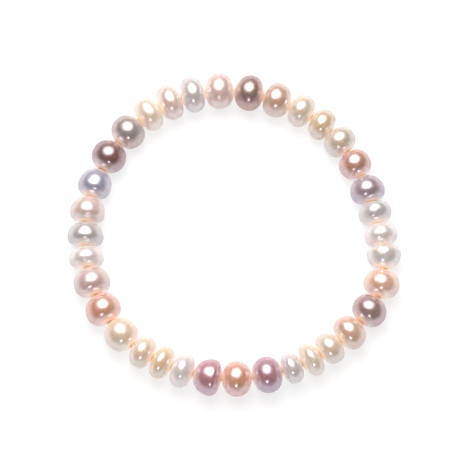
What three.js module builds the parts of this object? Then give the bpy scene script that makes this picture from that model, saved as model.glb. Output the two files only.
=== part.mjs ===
// Pearl bracelet: thirty-five freshwater button pearls on one closed elastic cord, lying flat on a surface.
// Millimetres, +Z up. The origin is under the middle of the loop, on the surface that it lies on.

import * as THREE from "three";

const boreRadius = 0.55; // drilled hole of each pearl
const cordRadius = 0.35; // elastic cord, loose in the bores
const pearlGap = 0.16; // clear space between two neighbours, measured on the cord
const meanHeight = 7.3; // average height of a pearl above the surface
const heightShare = 0.5; // part of a pearl's own difference in width that its height takes up
const landShare = 0.16; // part of a pearl's length that is its widest, level band
const pearlSides = 16; // facets around a pearl
const arcSteps = 3; // facets from the widest band to each drilled end
const cordSides = 8;
const cordStepsPerPearl = 2;
const startAngle = 100.7; // degrees, where the end of the first pearl meets the last one

// The line of the cord, clockwise from the far side: a soft, slightly pulled-in circle as it was laid down.
const route = [
  { angle: 95, radius: 32.3 },
  { angle: 70, radius: 31.35 },
  { angle: 45, radius: 30.85 },
  { angle: 24, radius: 29.9 },
  { angle: 6, radius: 30.3 },
  { angle: -12, radius: 32.3 },
  { angle: -27, radius: 33.1 },
  { angle: -45, radius: 31.85 },
  { angle: -65, radius: 31.2 },
  { angle: -90, radius: 31.15 },
  { angle: -112, radius: 31.05 },
  { angle: -137, radius: 31.85 },
  { angle: -162, radius: 31.2 },
  { angle: -180, radius: 30.8 },
  { angle: -196, radius: 31.1 },
  { angle: -220, radius: 31.75 },
  { angle: -242, radius: 32.3 },
];

// The pearls in the order they are threaded, clockwise. length is along the cord, across is the width seen from
// above. widest moves the widest band towards the next pearl (+) or the last one (-), as a share of half the
// length. fullness is 2 for an ellipse and more for a blunter pearl. taper makes the outer side longer (+) or
// shorter (-) than the inner one, and lean slants the pearl along the cord.
const columns = ["finish", "length", "across", "widest", "fullness", "taper", "lean"];
const rows = [
  ["blush", 6.4, 7.75, 0.0, 2.1, -0.05, 0.0],
  ["bronze", 6.5, 7.7, 0.05, 2.05, -0.06, 0.0],
  ["peach", 6.1, 7.4, -0.1, 2.2, -0.04, 0.03],
  ["cream", 5.3, 7.1, 0.0, 2.3, 0.0, 0.0],
  ["cream", 5.15, 6.8, 0.1, 2.3, 0.0, 0.03],
  ["cream", 5.9, 7.0, 0.0, 2.25, -0.03, 0.0],
  ["peach", 6.1, 6.9, 0.0, 2.2, 0.03, 0.0],
  ["mauve", 6.1, 7.3, 0.15, 2.1, 0.04, -0.04],
  ["white", 4.8, 7.0, 0.0, 2.4, 0.0, 0.0],
  ["white", 4.8, 7.05, 0.1, 2.35, 0.03, 0.0],
  ["white", 5.2, 7.15, -0.28, 2.2, 0.0, 0.0],
  ["peach", 6.3, 7.5, 0.05, 2.1, 0.03, 0.0],
  ["mauve", 6.6, 7.3, 0.0, 2.05, 0.03, 0.0],
  ["peach", 5.8, 7.4, 0.1, 2.1, 0.0, 0.0],
  ["cream", 4.9, 6.9, 0.0, 2.35, 0.0, 0.03],
  ["white", 4.1, 7.3, 0.0, 2.3, 0.0, 0.04],
  ["white", 4.3, 6.5, 0.1, 2.3, 0.0, 0.03],
  ["mauve", 6.3, 7.45, 0.0, 2.1, 0.0, 0.0],
  ["peach", 6.3, 7.2, 0.0, 2.15, 0.0, 0.0],
  ["mauve", 5.9, 7.5, -0.3, 2.15, 0.0, 0.0],
  ["white", 4.6, 7.2, 0.0, 2.35, 0.0, -0.03],
  ["cream", 4.2, 7.05, 0.1, 2.3, 0.0, -0.03],
  ["cream", 4.9, 6.8, 0.0, 2.3, 0.0, 0.0],
  ["cream", 6.9, 6.95, 0.0, 2.15, 0.0, 0.0],
  ["peach", 6.5, 7.4, -0.1, 2.2, 0.0, 0.0],
  ["blush", 6.2, 7.65, -0.15, 2.2, 0.0, 0.0],
  ["white", 4.7, 7.25, -0.2, 2.3, 0.0, 0.0],
  ["white", 5.2, 7.55, -0.25, 2.35, 0.0, 0.0],
  ["blush", 5.6, 7.45, -0.25, 2.3, 0.0, 0.0],
  ["silver", 6.5, 7.05, -0.2, 2.1, 0.0, 0.03],
  ["bronze", 6.9, 7.4, 0.0, 2.05, 0.0, 0.0],
  ["silver", 6.7, 7.45, 0.0, 2.05, 0.0, 0.0],
  ["cream", 5.2, 7.55, 0.0, 2.3, 0.0, 0.0],
  ["blush", 5.2, 7.8, 0.1, 2.3, 0.0, 0.0],
  ["white", 5.3, 7.8, 0.0, 2.3, 0.03, 0.0],
];
const pearls = rows.map((row) => Object.fromEntries(columns.map((name, i) => [name, row[i]])));

const finishes = {
  white: { color: 0xe6dcd8, roughness: 0.22, metalness: 0.3 },
  cream: { color: 0xe4d0bb, roughness: 0.22, metalness: 0.3 },
  blush: { color: 0xdfc3b8, roughness: 0.2, metalness: 0.35 },
  peach: { color: 0xd3aa93, roughness: 0.18, metalness: 0.4 },
  mauve: { color: 0xb89597, roughness: 0.16, metalness: 0.45 },
  silver: { color: 0xa8a5ae, roughness: 0.16, metalness: 0.45 },
  bronze: { color: 0x95776c, roughness: 0.15, metalness: 0.5 },
  elastic: { color: 0xe9e6df, roughness: 0.4, metalness: 0 },
};

function cordLine() {
  const points = route.map(({ angle, radius }) => {
    const turn = THREE.MathUtils.degToRad(angle);
    return new THREE.Vector3(radius * Math.cos(turn), radius * Math.sin(turn), 0);
  });
  return new THREE.CatmullRomCurve3(points, true, "centripetal");
}

// Share of the line's length at which it crosses an angle, walking clockwise from its first point.
function shareAtAngle(line, degrees) {
  const steps = 2000;
  const wanted = new THREE.Vector2(1, 0).rotateAround(new THREE.Vector2(), THREE.MathUtils.degToRad(degrees));
  let best = { share: 0, side: -Infinity };
  for (let i = 0; i < steps; i += 1) {
    const point = line.getPointAt(i / steps);
    const side = (point.x * wanted.x + point.y * wanted.y) / Math.hypot(point.x, point.y);
    if (side > best.side) best = { share: i / steps, side };
  }
  return best.share;
}

// The places between neighbouring pearls on the line, spaced so that the pearls and gaps close the loop.
function gapPoints(line) {
  const total = pearls.reduce((sum, pearl) => sum + pearl.length, 0);
  const fit = (line.getLength() - pearlGap * pearls.length) / total;
  let share = shareAtAngle(line, startAngle);
  return pearls.map((pearl) => {
    const point = line.getPointAt(share % 1);
    share += (pearl.length * fit + pearlGap) / line.getLength();
    return point;
  });
}

// Closed outline of half a pearl: the drilled end, the arc, the widest band, the other arc and back down the bore.
function pearlOutline(pearl, halfLength, radius) {
  const land = halfLength * landShare;
  const middle = pearl.widest * halfLength;
  const power = 2 / pearl.fullness;
  const reach = (side) => halfLength - land - side * middle;
  const arc = (side, step) => {
    const turn = (step / arcSteps) * (Math.PI / 2);
    const r = step === arcSteps ? boreRadius : radius * Math.cos(turn) ** power;
    const along = (1 - (r / radius) ** pearl.fullness) ** (1 / pearl.fullness);
    return new THREE.Vector2(r, middle + side * (land + reach(side) * along));
  };
  const steps = [...Array(arcSteps + 1).keys()];
  const outline = [...steps.toReversed().map((k) => arc(-1, k)), ...steps.map((k) => arc(1, k))];
  return [...outline, outline[0].clone()];
}

function pearlGeometry(pearl, length, height) {
  const radius = height / 2 / Math.cos(Math.PI / pearlSides);
  const outline = pearlOutline(pearl, length / 2, radius);
  const geometry = new THREE.LatheGeometry(outline, pearlSides, Math.PI / pearlSides);
  const places = geometry.getAttribute("position");
  for (let i = 0; i < places.count; i += 1) {
    const inward = places.getX(i) * (pearl.across / height);
    const along = places.getY(i) * (1 - pearl.taper * (inward / (pearl.across / 2)));
    places.setXYZ(i, inward, along + pearl.lean * inward, places.getZ(i));
  }
  geometry.computeVertexNormals();
  return geometry;
}

function finishMaterial(name) {
  return new THREE.MeshStandardMaterial({ name, ...finishes[name] });
}

function pearlMesh(pearl, index, from, to) {
  const height = meanHeight + heightShare * (pearl.across - meanHeight);
  const length = from.distanceTo(to) - pearlGap;
  const mesh = new THREE.Mesh(pearlGeometry(pearl, length, height), finishMaterial(pearl.finish));
  const along = to.clone().sub(from).normalize();
  const up = new THREE.Vector3(0, 0, 1);
  const inward = along.clone().cross(up);
  mesh.name = `pearl_${String(index + 1).padStart(2, "0")}`;
  mesh.quaternion.setFromRotationMatrix(new THREE.Matrix4().makeBasis(inward, along, up));
  mesh.position.addVectors(from, to).multiplyScalar(0.5).setZ(height / 2);
  return mesh;
}

// The cord runs through the middle of every bore, and between two pearls at the average of their heights.
function cordMesh(pearlMeshes, gaps) {
  const points = pearlMeshes.flatMap((mesh, i) => {
    const before = pearlMeshes.at(i - 1);
    const between = gaps[i].clone().setZ((before.position.z + mesh.position.z) / 2);
    return [between, mesh.position.clone()];
  });
  const line = new THREE.CatmullRomCurve3(points, true, "centripetal");
  const steps = pearlMeshes.length * cordStepsPerPearl;
  const geometry = new THREE.TubeGeometry(line, steps, cordRadius, cordSides, true);
  const mesh = new THREE.Mesh(geometry, finishMaterial("elastic"));
  mesh.name = "elastic_cord";
  return mesh;
}

function bracelet() {
  const gaps = gapPoints(cordLine());
  const pearlMeshes = pearls.map((pearl, i) => pearlMesh(pearl, i, gaps[i], gaps[(i + 1) % gaps.length]));
  const loop = new THREE.Group();
  loop.add(...pearlMeshes, cordMesh(pearlMeshes, gaps));
  const middle = new THREE.Box3().setFromObject(loop, true).getCenter(new THREE.Vector3());
  loop.position.set(-middle.x, -middle.y, 0);
  return loop;
}

export default bracelet();
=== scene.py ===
from math import cos, exp, hypot, pi, radians, sin

import bmesh
import bpy
from mathutils import Matrix, Vector, noise


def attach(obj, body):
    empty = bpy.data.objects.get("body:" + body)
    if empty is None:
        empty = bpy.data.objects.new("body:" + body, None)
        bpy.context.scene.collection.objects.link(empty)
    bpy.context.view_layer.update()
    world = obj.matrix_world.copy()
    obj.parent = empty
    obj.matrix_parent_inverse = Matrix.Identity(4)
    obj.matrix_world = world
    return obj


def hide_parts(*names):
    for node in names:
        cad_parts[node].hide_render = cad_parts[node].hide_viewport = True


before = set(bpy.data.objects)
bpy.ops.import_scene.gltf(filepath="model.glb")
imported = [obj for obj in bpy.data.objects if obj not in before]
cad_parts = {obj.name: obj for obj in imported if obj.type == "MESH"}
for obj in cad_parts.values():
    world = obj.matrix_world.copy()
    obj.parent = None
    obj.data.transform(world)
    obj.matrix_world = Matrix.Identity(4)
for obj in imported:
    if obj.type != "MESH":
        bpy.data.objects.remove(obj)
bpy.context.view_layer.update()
mm = 0.001
up = Vector((0, 0, 1))


# shader maths: a Wire is one socket, and an expression on Wires adds Math nodes to its tree
class Wire:
    def __init__(self, tree, socket):
        self.tree = tree
        self.socket = socket

    def plug(self, target):
        self.tree.links.new(self.socket, target)

    def math(self, operation, first, second):
        return node(self.tree, "ShaderNodeMath", {"operation": operation}, {0: first, 1: second})

    def __add__(self, other):
        return self.math("ADD", self, other)

    def __mul__(self, other):
        return self.math("MULTIPLY", self, other)

    __radd__ = __add__
    __rmul__ = __mul__


# any node: its type, its settings, then the values or Wires of its sockets
def node(tree, kind, settings=None, inputs=None, output=0):
    made = tree.nodes.new(kind)
    for name, value in (settings or {}).items():
        setattr(made, name, value)
    for name, value in (inputs or {}).items():
        if isinstance(value, Wire):
            value.plug(made.inputs[name])
        else:
            made.inputs[name].default_value = value
    return Wire(tree, made.outputs[output]) if made.outputs else None


def blendColour(tree, factor, first, second):
    sockets = {0: factor, 6: first, 7: second}  # a Mix node's colour sockets, which share their names
    return node(tree, "ShaderNodeMix", {"data_type": "RGBA"}, sockets, output=2)


# 0 below the first limit, 1 above the second, and a soft step between them
def softStep(tree, value, low, high):
    sockets = {"Value": value, "From Min": low, "From Max": high}
    return node(tree, "ShaderNodeMapRange", {"interpolation_type": "SMOOTHSTEP"}, sockets)


def objectNoise(tree, place, scale, detail):
    return node(tree, "ShaderNodeTexNoise", None, {"Vector": place, "Scale": scale, "Detail": detail})


def freshTree(name):
    material = bpy.data.materials.new(name)
    material.use_nodes = True
    material.node_tree.nodes.clear()
    return material, material.node_tree


# the studio: camera, lamps, floor and room
studio = {
    "cameraTilt": 17,  # degrees that the camera leans towards the viewer from straight above
    "cameraDistance": 350 * mm,
    "clipStart": 10 * mm,
    "lens": 128.9,
    "aimForward": -0.75 * mm,  # the loop sits a touch above the middle of the frame
    "beadMiddle": 3.7 * mm,
    "floorSize": 6.0,
    "floorColour": (0.3, 0.3, 0.3, 1),
    "floorRoughness": 0.9,
    "floorGlow": 0.73,  # the light table under the white sweep
    "roomDark": (0.10, 0.10, 0.105, 1),  # what the pearls mirror above them
    "roomPale": (0.75, 0.74, 0.76, 1),  # the pale walls just above the table
    "wallHeight": 0.45,  # where the walls have turned dark, as the sine of the angle above the table
    "backdrop": (0.93, 0.93, 0.94, 1),
}
# a big softbox that fades towards its edge: the radius of each disc in millimetres, and the light it adds
softbox = {
    "place": Vector((-28, 124, 321)) * mm,
    "discs": ((80, 1.4), (112, 1.2), (146, 1.0), (186, 1.0), (236, 0.68), (300, 0.35)),
    "step": Vector((0, 7, -2)) * mm,  # from one disc to the next
    "colour": (1.0, 0.985, 0.965),
}
fillLamp = {
    "place": Vector((-30, -330, 205)) * mm,
    "radius": 34,
    "radiance": 8,
    "colour": (0.94, 0.96, 1.0),
}


def makeCamera():
    tilt = radians(studio["cameraTilt"])
    back = Vector((0, -sin(tilt), cos(tilt)))
    aim = Vector((0, studio["aimForward"], studio["beadMiddle"]))
    data = bpy.data.cameras.new("viewCamera")
    data.lens = studio["lens"]
    data.clip_start = studio["clipStart"]
    camera = bpy.data.objects.new("viewCamera", data)
    turn = back.to_track_quat("Z", "Y").to_matrix().to_4x4()
    camera.matrix_world = Matrix.Translation(aim + back * studio["cameraDistance"]) @ turn
    bpy.context.collection.objects.link(camera)
    bpy.context.scene.camera = camera


def makeLamp(name, place, radius, radiance, colour):
    data = bpy.data.lights.new(name, "AREA")
    data.shape = "DISK"
    data.size = 2 * radius * mm
    data.energy = 4 * pi * (radius * mm) ** 2 * radiance
    data.color = colour
    lamp = bpy.data.objects.new(name, data)
    turn = place.to_track_quat("Z", "Y").to_matrix().to_4x4()
    lamp.matrix_world = Matrix.Translation(place) @ turn
    lamp.visible_camera = False
    bpy.context.collection.objects.link(lamp)


def makeLamps():
    for number, (radius, radiance) in enumerate(softbox["discs"]):
        place = softbox["place"] + softbox["step"] * number
        makeLamp("softbox" + str(number), place, radius, radiance, softbox["colour"])
    makeLamp("fillLamp", **fillLamp)


def makeFloor():
    bm = bmesh.new()
    bmesh.ops.create_grid(bm, x_segments=1, y_segments=1, size=studio["floorSize"] / 2)
    mesh = bpy.data.meshes.new("floor")
    bm.to_mesh(mesh)
    bm.free()
    floor = bpy.data.objects.new("floor", mesh)
    bpy.context.collection.objects.link(floor)
    material, tree = freshTree("whiteSweep")
    sockets = {
        "Base Color": studio["floorColour"],
        "Roughness": studio["floorRoughness"],
        "Specular IOR Level": 0.0,
        "Emission Color": (1, 1, 1, 1),
        "Emission Strength": studio["floorGlow"],
    }
    shader = node(tree, "ShaderNodeBsdfPrincipled", None, sockets)
    node(tree, "ShaderNodeOutputMaterial", None, {"Surface": shader})
    mesh.materials.append(material)


# the pearls mirror a dim room, while the camera sees a pale wall behind the floor
def makeRoom():
    world = bpy.data.worlds.new("room")
    world.use_nodes = True
    tree = world.node_tree
    tree.nodes.clear()
    seen = node(tree, "ShaderNodeLightPath")
    direction = node(tree, "ShaderNodeTexCoord")
    height = node(tree, "ShaderNodeSeparateXYZ", None, {"Vector": direction}, output=2)
    fade = softStep(tree, height, 0.0, studio["wallHeight"])
    walls = blendColour(tree, fade, studio["roomPale"], studio["roomDark"])
    colour = blendColour(tree, seen, walls, studio["backdrop"])
    shader = node(tree, "ShaderNodeBackground", None, {"Color": colour})
    node(tree, "ShaderNodeOutputWorld", None, {"Surface": shader})
    bpy.context.scene.world = world


makeCamera()
makeLamps()
makeFloor()
makeRoom()
bpy.context.scene.view_settings.view_transform = "Standard"
print("studio ready")


# body is the colour of the nacre and sheen the tint of its mirror layer
shades = {
    "rose": {"body": (0.74, 0.52, 0.45), "sheen": (0.94, 0.92, 1.0)},
    "shell": {"body": (0.76, 0.56, 0.48), "sheen": (0.90, 0.92, 1.0)},
    "bronze": {"body": (0.25, 0.16, 0.12), "sheen": (1.0, 0.74, 0.72)},
    "cocoa": {"body": (0.19, 0.055, 0.01), "sheen": (0.92, 0.80, 0.92)},
    "steel": {"body": (0.33, 0.29, 0.28), "sheen": (1.0, 0.82, 0.80)},
    "ice": {"body": (0.36, 0.36, 0.45), "sheen": (1.0, 0.90, 0.92)},
    "mauve": {"body": (0.52, 0.21, 0.20), "sheen": (0.86, 0.84, 1.0)},
    "plum": {"body": (0.37, 0.22, 0.19), "sheen": (0.98, 0.82, 0.90)},
    "lilac": {"body": (0.43, 0.29, 0.29), "sheen": (0.86, 0.84, 1.0)},
    "orchid": {"body": (0.51, 0.21, 0.21), "sheen": (0.76, 0.78, 1.0)},
    "roseGold": {"body": (0.76, 0.37, 0.20), "sheen": (0.94, 0.88, 1.0)},
    "peach": {"body": (0.80, 0.49, 0.33), "sheen": (0.90, 0.92, 1.0)},
    "cream": {"body": (0.80, 0.63, 0.47), "sheen": (0.84, 0.90, 1.0)},
    "champagne": {"body": (0.92, 0.64, 0.36), "sheen": (0.76, 0.86, 1.0)},
    "apricot": {"body": (0.98, 0.69, 0.48), "sheen": (0.76, 0.86, 1.0)},
    "white": {"body": (0.79, 0.69, 0.65), "sheen": (0.92, 0.93, 1.0)},
    "silver": {"body": (0.59, 0.53, 0.50), "sheen": (0.96, 0.94, 1.0)},
}

# what one pearl may change of its shade and of the plain form, lengths in millimetres
plainPearl = {
    "light": 1.0,  # lighter or darker than its shade
    "reach": 0.0,  # how much nearer its drilled ends come to the neighbours than the plain pearl's
    "wobble": 0.05,  # height of the soft waves in its surface
    "rings": 0.0,  # height of the growth rings around its drill axis
    "dimples": (),  # (place along the drill axis, turn from straight up in degrees, depth)
}
strand = {
    "pearl_01": {"shade": "rose", "reach": -0.035},
    "pearl_02": {"shade": "bronze", "reach": -0.035, "rings": 0.006},
    "pearl_03": {"shade": "peach", "light": 0.8, "rings": 0.006},
    "pearl_04": {"shade": "cream", "light": 0.97},
    "pearl_05": {"shade": "champagne", "light": 0.84, "reach": -0.035},
    "pearl_06": {"shade": "cream", "light": 0.84, "reach": -0.035},
    "pearl_07": {"shade": "roseGold", "light": 0.74},
    "pearl_08": {"shade": "lilac", "reach": 0.05},
    "pearl_09": {"shade": "silver", "light": 1.04, "reach": 0.05, "wobble": 0.1},
    "pearl_10": {"shade": "white", "light": 1.05, "reach": 0.05},
    "pearl_11": {"shade": "silver", "light": 1.2},
    "pearl_12": {"shade": "peach", "light": 1.06, "reach": -0.035},
    "pearl_13": {"shade": "plum", "light": 0.92, "reach": -0.035},
    "pearl_14": {
        "shade": "peach", "light": 0.96, "reach": 0.04,
        "dimples": ((0.4, 25, 0.05), (0.1, 60, 0.04)),
    },
    "pearl_15": {"shade": "cream", "light": 1.05, "reach": 0.05, "wobble": 0.1},
    "pearl_16": {"shade": "cream", "light": 1.1, "reach": 0.02, "wobble": 0.08},
    "pearl_17": {"shade": "white", "light": 0.92, "reach": 0.02},
    "pearl_18": {"shade": "orchid"},
    "pearl_19": {"shade": "roseGold"},
    "pearl_20": {"shade": "mauve", "light": 1.04},
    "pearl_21": {"shade": "white", "light": 1.03, "reach": 0.04, "wobble": 0.1},
    "pearl_22": {"shade": "champagne", "reach": 0.04},
    "pearl_23": {"shade": "apricot", "reach": -0.035},
    "pearl_24": {"shade": "apricot", "reach": -0.045},
    "pearl_25": {"shade": "roseGold", "light": 0.97, "reach": -0.035},
    "pearl_26": {"shade": "rose", "light": 0.92},
    "pearl_27": {"shade": "white"},
    "pearl_28": {"shade": "silver", "light": 0.88, "reach": 0.03},
    "pearl_29": {"shade": "shell", "light": 0.97},
    "pearl_30": {"shade": "ice"},
    "pearl_31": {"shade": "cocoa"},
    "pearl_32": {"shade": "steel"},
    "pearl_33": {"shade": "cream", "light": 1.12, "wobble": 0.1},
    "pearl_34": {"shade": "shell", "light": 1.02},
    "pearl_35": {"shade": "silver", "light": 1.05},
}
nacre = {
    "sides": 16,  # facets around the plain pearl that is smoothed here
    "mergeDistance": 0.001 * mm,
    "flatWithin": radians(5),  # two triangles of one facet turn less than this
    "mouthRound": 0.12 * mm,  # worn edge of the drilled hole
    "levels": 3,
    "seedStep": Vector((17.3, 5.9, 11.7)),  # millimetres between two pearls in the noise
    "waveSize": 2.8,  # this and the next four in millimetres
    "grainSize": 0.9,
    "grainHeight": 0.006,
    "ringPitch": 0.42,
    "dimpleSize": 0.35,
    "broadClouds": (190, 2),  # noise of the colour clouds: its scale per metre and its detail
    "smallClouds": (620, 3),
    "cloudShares": (0.8, 0.2),
    "cloudEdges": (0.35, 0.68),
    "brightest": 0.98,  # no body colour goes past this
    "veil": 0.07,  # how much paler the clouds in the nacre are
    "roughness": 0.24,
    "roughDrift": 0.06,
    "ior": 4.2,  # the stacked layers of nacre mirror more than glass does
    "coatWeight": 0.4,
    "coatRoughness": 0.2,
    "coatIor": 1.5,
    "sheenWeight": 0.13,
    "sheenRoughness": 0.35,
    "sheenTint": (0.78, 0.74, 1.0, 1),
    "depthGlow": 0.8,
    "glowRadius": (1.0, 0.72, 0.5),
    "glowScale": 1.6 * mm,
    # painted glow near the drilled ends, standing in for light passed between touching pearls: first a
    # warm base colour
    "paintedGlowColour": (1.0, 0.72, 0.46, 1),
    "paintedGlowBlend": 0.35,
    "holeFrom": 0.12,  # where the painted warm glow starts: 0 at the widest band, 1 on the drill axis
    "holeReach": 0.62,
    "paintedEndGlow": (0.84, 0.93, 0.95, 1),  # painted glow: emission that stands in for light the nacre carries to its drilled ends
    "paintedGlowStrength": 0.2,
    "paintedHoleGlow": (1.0, 0.68, 0.32, 1),  # the same painted glow right at the hole, warmer, as if from deeper inside
    "holeGlowFrom": 0.48,
    "holeGlowReach": 0.77,
    "grainNoise": (2600, 2),
    "grainBump": 0.012 * mm,
    "grainStrength": 0.5,
}


# a plain drill axis: its middle, its direction to the next pearl, and the one to the middle of the loop
def drillAxis(boreEdges):
    first = boreEdges[0].verts[1].co - boreEdges[0].verts[0].co
    along = Vector()
    middle = Vector()
    for edge in boreEdges:
        step = edge.verts[1].co - edge.verts[0].co
        along += step if step.dot(first) > 0 else -step
        middle += (edge.verts[0].co + edge.verts[1].co) / 2
    along.normalize()
    middle /= len(boreEdges)
    if along.cross(up).dot(middle) > 0:
        along.negate()
    return middle, along, along.cross(up)


def smoothPearl(name):
    bm = bmesh.new()
    bm.from_mesh(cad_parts[name].data)
    bmesh.ops.remove_doubles(bm, verts=bm.verts, dist=nacre["mergeDistance"])
    bmesh.ops.join_triangles(
        bm, faces=bm.faces, angle_face_threshold=nacre["flatWithin"], angle_shape_threshold=pi
    )
    bore = sorted(bm.edges, key=lambda edge: -edge.calc_length())[: nacre["sides"]]
    axis = drillAxis(bore)
    size = boxOf([toLocal(vert.co, axis) for vert in bm.verts])
    ends = {vert for edge in bore for vert in edge.verts}
    mouths = [edge for edge in bm.edges if edge not in bore and ends.issuperset(edge.verts)]
    bmesh.ops.bevel(
        bm, geom=mouths, offset=nacre["mouthRound"], segments=1,
        profile=0.5, affect="EDGES", material=-1,
    )
    mesh = bpy.data.meshes.new(name)
    bm.to_mesh(mesh)
    bm.free()
    raw = bpy.data.objects.new(name, mesh)
    bpy.context.collection.objects.link(raw)
    smoothing = raw.modifiers.new("smoothing", "SUBSURF")
    smoothing.levels = smoothing.render_levels = nacre["levels"]
    fine = bpy.data.meshes.new_from_object(raw.evaluated_get(bpy.context.evaluated_depsgraph_get()))
    bpy.data.objects.remove(raw)
    return fine, axis, size


# a point as millimetres along the drill axis, towards the middle of the loop, and up
def toLocal(point, axis):
    middle, along, inward = axis
    arm = point - middle
    return Vector((arm.dot(along), arm.dot(inward), arm.z)) / mm


def boxOf(places):
    low = [min(place[i] for place in places) for i in range(3)]
    high = [max(place[i] for place in places) for i in range(3)]
    return low, high


# how far the surface stands out at a place, in millimetres
def relief(place, look, seed):
    wave = noise.noise((place + seed) / nacre["waveSize"]) * look["wobble"]
    grain = noise.noise((place + seed) / nacre["grainSize"]) * nacre["grainHeight"]
    ring = sin(2 * pi * place.x / nacre["ringPitch"]) * look["rings"]
    return wave + grain + ring


# small pits, pressed in where the surface passes their line from the middle
def pitDepth(place, look, halfLength):
    depth = 0
    for share, turn, deep in look["dimples"]:
        out = hypot(place.y, place.z)
        tilt = Vector((share * halfLength, out * sin(radians(turn)), out * cos(radians(turn))))
        depth += deep * exp(-((place - tilt).length / nacre["dimpleSize"]) ** 2)
    return depth


# adds the relief, then fits the pearl to the plain one's size
def shapePearl(mesh, axis, size, look, seed):
    middle, along, inward = axis
    halfLength = (size[1][0] - size[0][0]) / 2
    halfWidth = (size[1][1] - size[0][1]) / 2
    places = []
    for vert in mesh.vertices:
        place = toLocal(vert.co, axis)
        out = toLocal(middle + vert.normal * mm, axis)
        places.append(place + out * (relief(place, look, seed) - pitDepth(place, look, halfLength)))
    low, high = boxOf(places)
    nearHole = mesh.attributes.new("nearHole", "FLOAT", "POINT")
    for vert, place, mark in zip(mesh.vertices, places, nearHole.data):
        share = [(place[i] - low[i]) / (high[i] - low[i]) for i in range(3)]
        fit = [size[0][i] + share[i] * (size[1][i] - size[0][i]) for i in range(3)]
        vert.co = middle + (along * fit[0] + inward * fit[1] + up * fit[2]) * mm
        mark.value = max(0.0, 1 - hypot(fit[1], fit[2]) / halfWidth)
    mesh.polygons.foreach_set("use_smooth", [True] * len(mesh.polygons))
    mesh.update()


def pearlMaterial(name, look, seed):
    shade = shades[look["shade"]]
    material, tree = freshTree(name + "_nacre")
    place = node(tree, "ShaderNodeTexCoord", None, None, output=3)
    shifted = node(tree, "ShaderNodeMapping", None, {"Vector": place, "Location": seed * mm})
    broad = objectNoise(tree, shifted, *nacre["broadClouds"])
    small = objectNoise(tree, shifted, *nacre["smallClouds"])
    grain = objectNoise(tree, shifted, *nacre["grainNoise"])
    hole = node(tree, "ShaderNodeAttribute", {"attribute_name": "nearHole"}, None, output=2)
    body = [min(channel * look["light"], nacre["brightest"]) for channel in shade["body"]] + [1]
    veil = [channel * (1 - nacre["veil"]) + nacre["veil"] for channel in body]
    clouds = broad * nacre["cloudShares"][0] + small * nacre["cloudShares"][1]
    colour = blendColour(tree, softStep(tree, clouds, *nacre["cloudEdges"]), body, veil)
    # painted glow: the base colour turns warm towards the drilled ends, where neighbouring pearls pass
    # light to each other
    paintedGlowMask = softStep(tree, hole, nacre["holeFrom"], nacre["holeReach"])
    colour = blendColour(tree, paintedGlowMask * nacre["paintedGlowBlend"], colour, nacre["paintedGlowColour"])
    # painted glow: the surface emits light near the drilled ends, warmest right at the hole
    holeGlowMask = softStep(tree, hole, nacre["holeGlowFrom"], nacre["holeGlowReach"])
    paintedGlow = blendColour(tree, paintedGlowMask, (0, 0, 0, 1), nacre["paintedEndGlow"])
    paintedGlow = blendColour(tree, holeGlowMask, paintedGlow, nacre["paintedHoleGlow"])
    bumpSockets = {"Height": grain, "Distance": nacre["grainBump"], "Strength": nacre["grainStrength"]}
    bump = node(tree, "ShaderNodeBump", None, bumpSockets)
    sockets = {
        "Base Color": colour,
        "Roughness": small * nacre["roughDrift"] + (nacre["roughness"] - nacre["roughDrift"] / 2),
        "IOR": nacre["ior"],
        "Specular Tint": (*shade["sheen"], 1),
        "Coat Weight": nacre["coatWeight"],
        "Coat Roughness": nacre["coatRoughness"],
        "Coat IOR": nacre["coatIor"],
        "Sheen Weight": nacre["sheenWeight"],
        "Sheen Roughness": nacre["sheenRoughness"],
        "Sheen Tint": nacre["sheenTint"],
        "Subsurface Weight": nacre["depthGlow"],
        "Subsurface Radius": nacre["glowRadius"],
        "Subsurface Scale": nacre["glowScale"],
        "Emission Color": paintedGlow,
        "Emission Strength": nacre["paintedGlowStrength"],
        "Normal": bump,
    }
    shader = node(tree, "ShaderNodeBsdfPrincipled", None, sockets)
    node(tree, "ShaderNodeOutputMaterial", None, {"Surface": shader})
    return material


def makePearl(name, changes, index):
    look = {**plainPearl, **changes}
    seed = nacre["seedStep"] * (index + 1)
    mesh, axis, size = smoothPearl(name)
    size[0][0] -= look["reach"]
    size[1][0] += look["reach"]
    shapePearl(mesh, axis, size, look, seed)
    mesh.materials.clear()
    mesh.materials.append(pearlMaterial(name, look, seed))
    pearl = bpy.data.objects.new(name + "_nacre", mesh)
    bpy.context.collection.objects.link(pearl)
    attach(pearl, "root")
    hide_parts(name)


for pearlIndex, (pearlName, pearlChanges) in enumerate(strand.items()):
    makePearl(pearlName, pearlChanges, pearlIndex)
print("pearls threaded:", len(strand))


elastic = {
    "colour": (0.82, 0.80, 0.76, 1),
    "streak": (0.72, 0.70, 0.66, 1),
    "streakNoise": (900, 2),
    "roughness": 0.38,
    "depthGlow": 0.5,
    "glowRadius": (1.0, 0.9, 0.8),
    "glowScale": 0.4 * mm,
}


def finishCord():
    material, tree = freshTree("milkyElastic")
    place = node(tree, "ShaderNodeTexCoord", None, None, output=3)
    streaks = objectNoise(tree, place, *elastic["streakNoise"])
    sockets = {
        "Base Color": blendColour(tree, streaks, elastic["colour"], elastic["streak"]),
        "Roughness": elastic["roughness"],
        "Subsurface Weight": elastic["depthGlow"],
        "Subsurface Radius": elastic["glowRadius"],
        "Subsurface Scale": elastic["glowScale"],
    }
    shader = node(tree, "ShaderNodeBsdfPrincipled", None, sockets)
    node(tree, "ShaderNodeOutputMaterial", None, {"Surface": shader})
    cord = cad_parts["elastic_cord"]
    cord.material_slots[0].material = material


finishCord()
print("cord finished")
